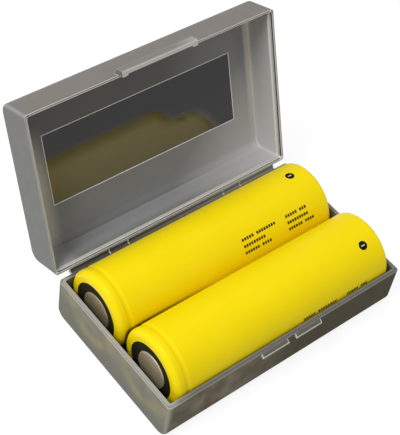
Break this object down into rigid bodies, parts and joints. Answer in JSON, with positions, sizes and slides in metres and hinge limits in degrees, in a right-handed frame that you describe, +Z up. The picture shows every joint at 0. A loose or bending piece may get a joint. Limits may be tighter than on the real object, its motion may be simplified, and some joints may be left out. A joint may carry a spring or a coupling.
{
  "type": "battery storage box",
  "caption": "Hinged pocket case of frosted smoke-grey plastic, lid standing open on a moulded-in hinge, holding cylindrical cells side by side in its tray.",
  "frame": {"origin": "middle of the tray's flat underside", "axes": "+X along the case and the cells, with the positive ends towards -X; +Y from the catches to the hinge; +Z up"},
  "size_m": [0.0772, 0.0737, 0.0593],
  "materials": {
    "case": "frosted smoke-grey polypropylene, see-through, with a polished window in the lid",
    "sleeve": "satin yellow shrink sleeve",
    "cell_steel": "nickel-plated steel",
    "terminal": "nickel-plated steel, slightly dull",
    "washer": "black pressed fibre",
    "seal": "black moulded seal",
    "cell_aluminium": "plain sheet",
    "insulator": "thin punched film",
    "winding": "wound foils and separator"
  },
  "bodies": {
    "tray": {"tray": "case", "hinge_web": "case"},
    "lid": {"lid": "case"},
    "front_cell": {"front_cell_sleeve": "sleeve", "front_cell_can": "cell_steel", "front_cell_insulator_ring": "washer", "front_cell_positive_cap": "terminal", "front_cell_gasket": "seal", "front_cell_vent_disc": "cell_aluminium", "front_cell_vent_spacer": "seal", "front_cell_base_plate": "cell_aluminium", "front_cell_positive_tab": "cell_aluminium", "front_cell_top_insulator": "insulator", "front_cell_electrode_roll": "winding", "front_cell_bottom_insulator": "insulator", "front_cell_negative_tab": "cell_steel"},
    "rear_cell": {"rear_cell_sleeve": "sleeve", "rear_cell_can": "cell_steel", "rear_cell_insulator_ring": "washer", "rear_cell_positive_cap": "terminal", "rear_cell_gasket": "seal", "rear_cell_vent_disc": "cell_aluminium", "rear_cell_vent_spacer": "seal", "rear_cell_base_plate": "cell_aluminium", "rear_cell_positive_tab": "cell_aluminium", "rear_cell_top_insulator": "insulator", "rear_cell_electrode_roll": "winding", "rear_cell_bottom_insulator": "insulator", "rear_cell_negative_tab": "cell_steel"}
  },
  "joints": [
    {"name": "lid_hinge", "type": "hinge", "parent": "tray", "child": "lid", "pos_m": [0, 0.02373, 0.0132], "axis": [-1, 0, 0], "range_deg": [-110, 70], "deforming": ["hinge_web"]},
    {"name": "front_cell_roll", "type": "hinge", "parent": "tray", "child": "front_cell", "pos_m": [0, -0.0109, 0.01215], "axis": [1, 0, 0], "continuous": true},
    {"name": "rear_cell_roll", "type": "hinge", "parent": "tray", "child": "rear_cell", "pos_m": [0, 0.0109, 0.01215], "axis": [1, 0, 0], "continuous": true}
  ]
}
